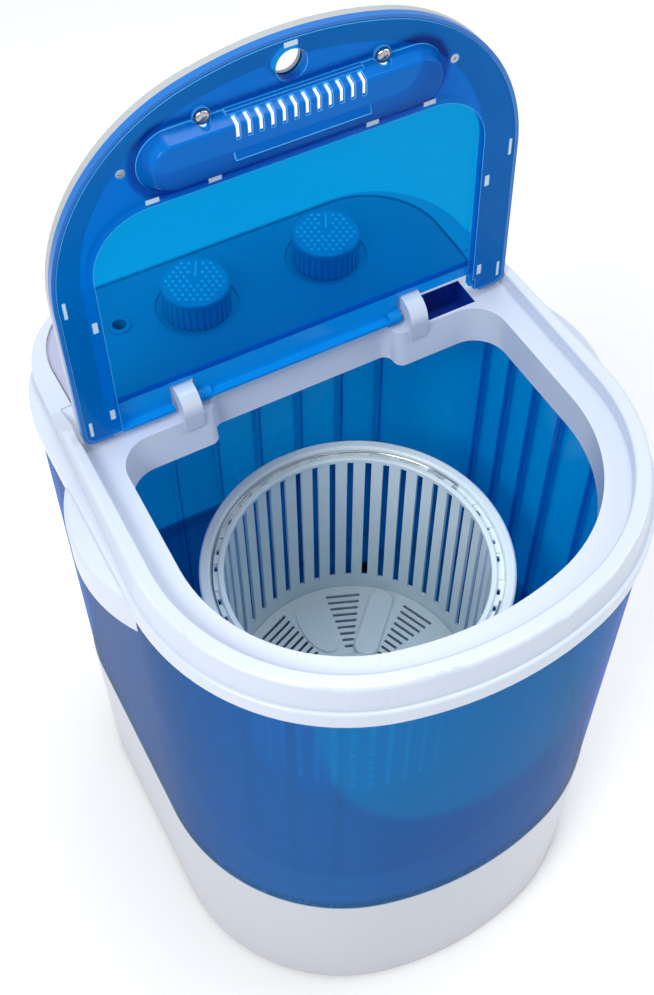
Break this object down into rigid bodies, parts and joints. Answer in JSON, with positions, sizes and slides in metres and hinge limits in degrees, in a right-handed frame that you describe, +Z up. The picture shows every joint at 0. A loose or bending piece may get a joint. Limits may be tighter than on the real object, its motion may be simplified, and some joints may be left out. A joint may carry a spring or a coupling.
{
  "type": "mini washing machine",
  "caption": "Compact tabletop washing machine with a see-through tub, slotted spin basket, hinged see-through lid and round control knobs.",
  "frame": {"origin": "middle of the footprint on the floor, under the feet", "axes": "+Z up, the rounded front faces -Y, the control panel is at +Y, +X is to the right seen from the front"},
  "size_m": [0.376, 0.4, 0.7195],
  "materials": {
    "white_plastic": "gloss",
    "base_plastic": "gloss",
    "casing_blue": "clear gloss",
    "tub_blue": "clear gloss",
    "window_blue": "clear gloss",
    "liner_blue": "clear gloss",
    "silver_plastic": "satin",
    "dark_plastic": "satin",
    "rubber": "matt",
    "steel": "brushed",
    "zinc_steel": "satin",
    "bright_screw": "polished"
  },
  "bodies": {
    "cabinet": {"base_shell": "base_plastic", "base_plate": "dark_plastic", "base_feet": "rubber", "base_screws": "steel", "outer_casing": "casing_blue", "wash_tub": "tub_blue", "top_collar": "white_plastic", "control_panel": "silver_plastic", "water_inlet": "dark_plastic", "wash_timer": "dark_plastic", "mode_switch": "dark_plastic", "drain_spigot": "dark_plastic", "drain_elbow": "dark_plastic", "cord_gland": "dark_plastic", "tub_seal": "rubber", "shaft_bearing": "steel", "motor_bracket": "zinc_steel", "motor_housing": "zinc_steel", "drive_belt": "rubber"},
    "lid": {"lid_frame": "silver_plastic", "lid_window": "window_blue", "lid_liner": "liner_blue", "vent_pod": "liner_blue", "pod_screws": "bright_screw", "pod_end_screws": "steel", "lid_clips": "silver_plastic", "hinge_pins": "steel"},
    "timer_knob": {"knob_left": "white_plastic", "knob_shaft_left": "dark_plastic"},
    "mode_knob": {"knob_right": "white_plastic", "knob_shaft_right": "dark_plastic"},
    "basket": {"spin_basket": "white_plastic", "basket_ring": "white_plastic", "snap_ring": "bright_screw", "basket_base": "white_plastic", "hub_cap": "white_plastic", "drive_shaft": "steel", "basket_pulley": "dark_plastic"},
    "motor_rotor": {"motor_pulley": "steel"}
  },
  "joints": [
    {"name": "lid_hinge", "type": "hinge", "parent": "cabinet", "child": "lid", "pos_m": [0, 0.064, 0.4755], "axis": [1, 0, 0], "range_deg": [0, 92]},
    {"name": "timer_turn", "type": "hinge", "parent": "cabinet", "child": "timer_knob", "pos_m": [-0.0383, 0.142, 0.47], "axis": [0, 0, -1], "range_deg": [0, 330]},
    {"name": "mode_turn", "type": "hinge", "parent": "cabinet", "child": "mode_knob", "pos_m": [0.0615, 0.142, 0.47], "axis": [0, 0, -1], "range_deg": [0, 90]},
    {"name": "basket_spin", "type": "hinge", "parent": "cabinet", "child": "basket", "pos_m": [0, -0.019, 0.15], "axis": [0, 0, 1], "continuous": true},
    {"name": "rotor_spin", "type": "hinge", "parent": "cabinet", "child": "motor_rotor", "pos_m": [0, 0.095, 0.1], "axis": [0, 0, 1], "continuous": true}
  ],
  "couplings": [
    {"joint": "rotor_spin", "follows": "basket_spin", "ratio": 5}
  ]
}
